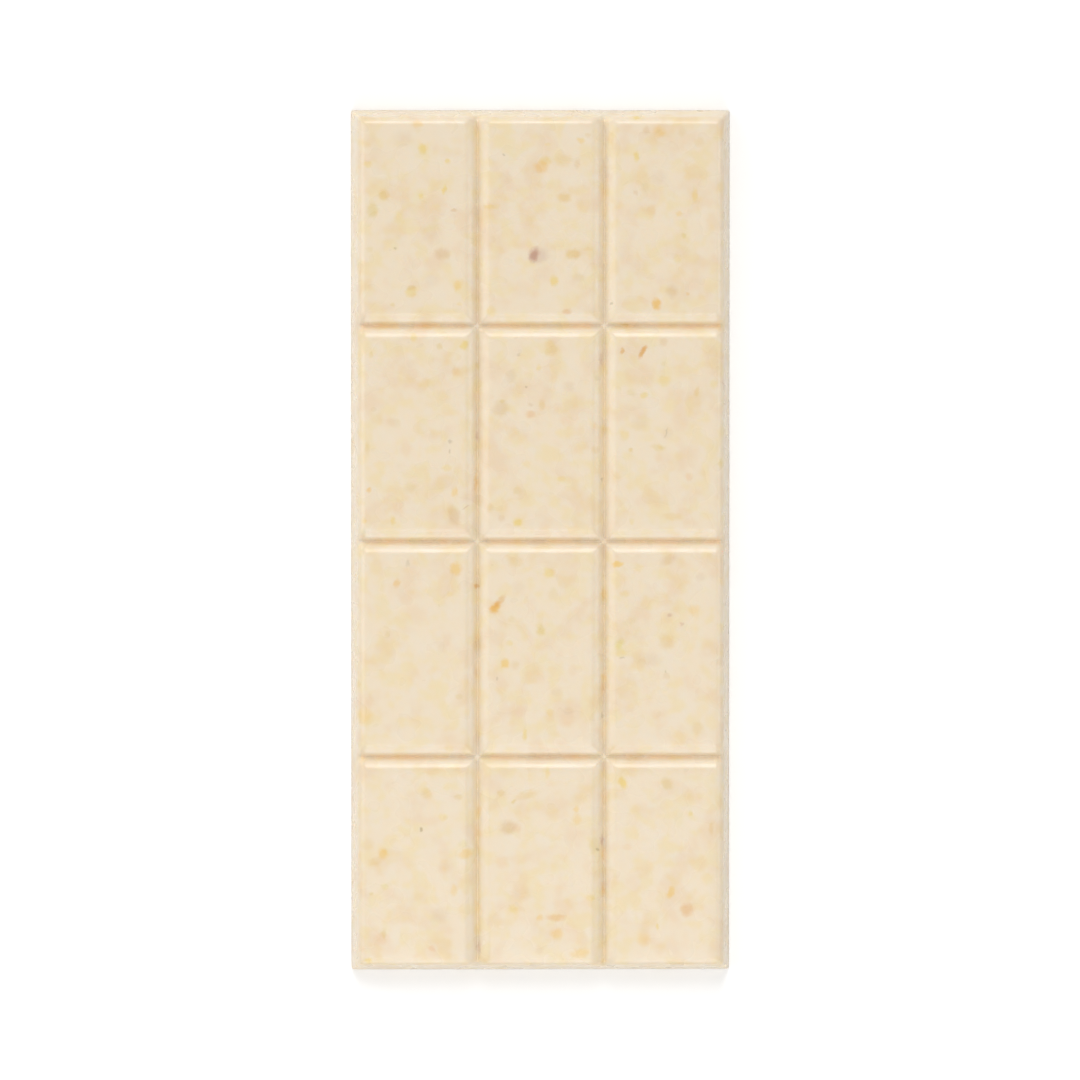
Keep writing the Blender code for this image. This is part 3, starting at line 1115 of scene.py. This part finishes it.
    def is_outer_edge(self, edge: bmesh.types.BMEdge) -> bool:
        """Tells whether an edge is sharp and outward, and isn't at the flat back.

        Args:
            edge: an edge of the bar.

        Returns:
            True for an edge that is rounded.
        """
        at_back = all(vertex.co.z < self.low.z + self.rim_height / 2.0 for vertex in edge.verts)
        if at_back or not edge.is_manifold:
            return False
        return edge.calc_face_angle_signed() > self.sharpest_unrounded

    def is_corner_edge(self, edge: bmesh.types.BMEdge) -> bool:
        """Tells whether an edge runs up a corner of the bar, or of a segment where two grooves cross.

        Args:
            edge: an edge of the bar.

        Returns:
            True for an edge that is rounded more tightly.
        """
        near_side = self.high.x - self.CORNER_REACH * self.wall_draft
        near_end = self.high.y - self.CORNER_REACH * self.wall_draft
        if all(abs(vertex.co.x) > near_side and abs(vertex.co.y) > near_end for vertex in edge.verts):
            return True
        reach = self.CROSSING_REACH * self.groove_mouth
        return all(self.is_near_crossing(vertex.co, reach) for vertex in edge.verts)

    def weigh_edges(self, slab: bpy.types.Object) -> None:
        """Stores on each edge how far it is rounded, from 0 for not at all to 1 for the full rounding.

        Args:
            slab: the bar.
        """
        form = bmesh.new()
        form.from_mesh(slab.data)
        weight = form.edges.layers.float.new("bevel_weight_edge")
        for edge in form.edges:
            if self.is_outer_edge(edge):
                edge[weight] = self.corner_rounding / self.rounding if self.is_corner_edge(edge) else 1.0
        form.to_mesh(slab.data)
        form.free()

    def round_rims(self, slab: bpy.types.Object) -> None:
        """Rounds the rims of the segments and the ends of the grooves, and all corners more tightly.

        Args:
            slab: the bar.
        """
        self.weigh_edges(slab)
        select_only(slab)
        rounding = slab.modifiers.new("rounding", "BEVEL")
        rounding.limit_method = "WEIGHT"
        rounding.offset_type = "OFFSET"
        rounding.width = self.rounding
        rounding.segments = self.rounding_segments
        rounding.profile = 0.5
        rounding.use_clamp_overlap = False
        bpy.ops.object.modifier_apply(modifier=rounding.name)

    def score(self, slab: bpy.types.Object) -> None:
        """Cuts the mesh along a grid, so that its flat faces can take a ripple.

        Args:
            slab: the bar.
        """
        select_only(slab)
        bpy.ops.object.mode_set(mode="EDIT")
        keep_off = self.groove_mouth / 2.0 + self.rounding
        for division in (self.columns, self.rows):
            reach = self.high[division.axis] - self.wall_draft - self.rounding
            steps = round(2.0 * reach / self.grid_step)
            for step in range(steps + 1):
                place = -reach + 2.0 * reach * step / steps
                if division.from_groove(place) >= keep_off:
                    bisect(division.axis, place)
        bpy.ops.object.mode_set(mode="OBJECT")

    def ripple_skin(self, slab: bpy.types.Object) -> None:
        """Sinks the skin by a hair's breadth here and there, and shades it smooth.

        Args:
            slab: the bar.
        """
        select_only(slab)
        texture = bpy.data.textures.new("skin_ripple", "CLOUDS")
        texture.noise_scale = self.ripple_size
        sink = slab.modifiers.new("ripple", "DISPLACE")
        sink.texture = texture
        sink.texture_coords = "LOCAL"
        sink.mid_level = 1.0
        sink.strength = self.ripple
        bpy.ops.object.modifier_apply(modifier=sink.name)
        bpy.ops.object.shade_smooth_by_angle(angle=self.smooth_angle)

    def mark_grooves(self, slab: bpy.types.Object) -> None:
        """Stores on each point how deep it lies in the grooves of each direction.

        The depth is 0 on the front and where grooves cross, and 1 on the floor.

        Args:
            slab: the bar.
        """
        # The material paints light and shade into the grooves by these depths.
        for name, own, crossing in (
            (self.LENGTHWISE_DEPTH, self.columns, self.rows),
            (self.CROSSWISE_DEPTH, self.rows, self.columns),
        ):
            depth = slab.data.attributes.new(name, "FLOAT", "POINT")
            for index, vertex in enumerate(slab.data.vertices):
                sunk = self.depth_of(vertex.co)
                if self.is_in_mouth(vertex.co, own) and not self.is_in_mouth(vertex.co, crossing):
                    if sunk < 1.0 + self.DEPTH_SLACK:
                        depth.data[index].value = min(max(sunk, 0.0), 1.0)

    def is_in_mouth(self, place: Vector, division: Division) -> bool:
        """True for a place within the mouth of a groove of one division."""
        return division.from_groove(place[division.axis]) < self.groove_mouth / 2.0

    def segment_at(self, x: float, y: float) -> int:
        """Returns the number of the segment at a place, counted by rows from the near left one."""
        return self.rows.strip_at(y) * self.columns.count + self.columns.strip_at(x)

    def crumbs_by_segment(self) -> list[list[Crumb]]:
        """Sorts the placed crumbs by the segments on which they show.

        Returns:
            A list of crumbs for each segment. A crumb near a groove is listed on both sides of it.
        """
        by_segment: list[list[Crumb]] = [[] for _ in range(self.columns.count * self.rows.count)]
        for crumb in self.placed_crumbs:
            x, y = crumb.across_mm * MM, crumb.along_mm * MM
            reach = max(crumb.length_mm, crumb.width_mm) * MM / 2.0 + self.grid_step
            corners = [(x + across, y + along) for across in (-reach, reach) for along in (-reach, reach)]
            for segment in {self.segment_at(*corner) for corner in corners}:
                by_segment[segment].append(crumb)
        return by_segment

    def dress(self, bar: bpy.types.Object) -> None:
        """Gives each segment its chocolate, with the crumbs that show on it.

        Args:
            bar: the bar.
        """
        bar.data.materials.clear()
        for crumbs in self.crumbs_by_segment():
            bar.data.materials.append(self.finish.make(crumbs, self.high.z / MM))
        for face in bar.data.polygons:
            face.material_index = self.segment_at(face.center.x, face.center.y)


@dataclass(frozen=True)
class SoftLight:
    """An upright strip of soft light that stands round the bar and faces it.

    Args:
        name: the light's name.
        turn_degrees: the way to it, counted from +X towards +Y.
        low_degrees: how high its foot stands over the horizon.
        high_degrees: how high its head stands over the horizon.
        brightness: its radiance in watts per square metre and steradian.
        width_degrees: its extent along the horizon.
        distance: how far from the bar its middle is.
    """

    name: str
    turn_degrees: float
    low_degrees: float
    high_degrees: float
    brightness: float
    width_degrees: float = 15.2
    distance: float = 1.2

    def hang(self) -> bpy.types.Object:
        """Adds the light to the scene.

        Returns:
            The light's object.
        """
        turn = math.radians(self.turn_degrees)
        rise = math.radians((self.low_degrees + self.high_degrees) / 2.0)
        reach = math.radians((self.high_degrees - self.low_degrees) / 2.0)
        outward = Vector((math.cos(rise) * math.cos(turn), math.cos(rise) * math.sin(turn), math.sin(rise)))
        lamp = bpy.data.lights.new(self.name, "AREA")
        lamp.shape = "RECTANGLE"
        lamp.size = 2.0 * self.distance * math.tan(math.radians(self.width_degrees) / 2.0)
        lamp.size_y = 2.0 * self.distance * math.tan(reach)
        lamp.energy = self.brightness * math.pi * lamp.size * lamp.size_y
        light = bpy.data.objects.new(self.name, lamp)
        light.location = outward * self.distance
        light.rotation_mode = "QUATERNION"
        light.rotation_quaternion = (-outward).to_track_quat("-Z", "Y")
        bpy.context.scene.collection.objects.link(light)
        return light


@dataclass(frozen=True)
class Studio:
    """The pale floor, the soft lights and the camera.

    Args:
        floor_side: the length of the floor's sides.
        floor_gap: how far the floor lies below the bar.
        floor_colour: the floor's colour.
        floor_roughness: the floor's roughness.
        floor_specular: the floor's specular level.
        sky_colour: the colour of the fill from everywhere.
        sky_strength: the strength of that fill.
        frame_pixels: the photograph's width and height.
        pixels_per_metre: the photograph's scale at the bar.
        camera_distance: how far the camera is from the bar.
        camera_lean: how far the camera leans towards the bar's far end.
        camera_sidestep: how far it leans towards the bar's left side.
        aim: the place that the camera looks at.
        sensor_mm: the width of the camera's sensor.
    """

    floor_side: float = 6.0
    floor_gap: float = 0.00005
    floor_colour: Colour = (0.95, 0.95, 0.95, 1.0)
    floor_roughness: float = 0.9
    floor_specular: float = 0.1
    sky_colour: Colour = WHITE
    sky_strength: float = 0.375
    frame_pixels: float = 1080.0
    pixels_per_metre: float = 5370.0
    camera_distance: float = 1.5
    camera_lean: float = math.radians(2.0)
    camera_sidestep: float = math.radians(1.0)
    aim: Triple = (-0.00005, 0.00006, 0.0)
    sensor_mm: float = 36.0

    def lay_floor(self) -> bpy.types.Object:
        """Lays the floor just below the bar.

        Returns:
            The floor's object.
        """
        leave_edit_mode_with_nothing_selected()
        bpy.ops.mesh.primitive_plane_add(size=self.floor_side, location=(0.0, 0.0, -self.floor_gap))
        floor = bpy.context.object
        floor.name = "studio_floor"
        shader = Shader("studio_floor")
        shader.surface.inputs["Base Color"].default_value = self.floor_colour
        shader.surface.inputs["Roughness"].default_value = self.floor_roughness
        shader.surface.inputs["Specular IOR Level"].default_value = self.floor_specular
        floor.data.materials.append(shader.material)
        return floor

    def light(self) -> list[bpy.types.Object]:
        """Lights the scene most from the far end and the left, with a soft fill from everywhere.

        Returns:
            The lights' objects.
        """
        world = bpy.data.worlds.new("studio")
        world.use_nodes = True
        background = world.node_tree.nodes["Background"]
        background.inputs["Color"].default_value = self.sky_colour
        background.inputs["Strength"].default_value = self.sky_strength
        bpy.context.scene.world = world
        lights = [
            SoftLight("far_low", 90.0, 7.5, 37.5, 2.1, distance=2.4),
            SoftLight("far_high", 90.0, 40.0, 65.0, 8.6, distance=2.4),
            SoftLight("far_left", 135.0, 7.5, 22.5, 4.2, width_degrees=40.0, distance=2.4),
            SoftLight("left", 180.0, 22.5, 67.5, 2.4),
            SoftLight("near", 270.0, 7.5, 82.5, 3.9, distance=1.0),
            SoftLight("near_low", 270.0, 5.0, 35.0, 1.2),
            SoftLight("right", 0.0, 22.5, 52.5, 2.8),
        ]
        return [light.hang() for light in lights]

    def place_camera(self) -> bpy.types.Object:
        """Places a long lens over the front, leaning a little towards the bar's far end and left side.

        Returns:
            The camera's object.
        """
        lens = bpy.data.cameras.new("camera")
        view_width = self.frame_pixels / self.pixels_per_metre
        lens.sensor_width = self.sensor_mm
        lens.lens = self.sensor_mm * self.camera_distance / view_width
        lens.clip_end = 10.0 * self.camera_distance
        camera = bpy.data.objects.new("camera", lens)
        back = Vector((-math.tan(self.camera_sidestep), math.tan(self.camera_lean), 1.0)).normalized()
        right = Vector((0.0, 1.0, 0.0)).cross(back).normalized()
        turned = Matrix((right, back.cross(right), back)).transposed().to_4x4()
        camera.matrix_world = Matrix.Translation(Vector(self.aim) + back * self.camera_distance) @ turned
        bpy.context.scene.collection.objects.link(camera)
        bpy.context.scene.camera = camera
        return camera

    def set_colours(self) -> None:
        """Shows colours as they are, with no film look over them."""
        view = bpy.context.scene.view_settings
        view.view_transform = "Standard"
        view.look = "None"
        view.exposure = 0.0
        view.gamma = 1.0


def main() -> None:
    """Builds and dresses the bar, then sets the studio round it."""
    logging.basicConfig(level=logging.INFO, format="%(name)s: %(message)s")
    low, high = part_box(BAR_NODE)
    studio = Studio()
    studio.set_colours()
    studio.place_camera()
    moulding = MouldedBar(low, high)
    bar = moulding.build()
    moulding.dress(bar)
    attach(bar, BODY)
    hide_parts(BAR_NODE)
    log.info("%s: %d points, %d faces", bar.name, len(bar.data.vertices), len(bar.data.polygons))
    studio.lay_floor()
    studio.light()
    log.info("studio set")


if __name__ == "__main__":
    main()
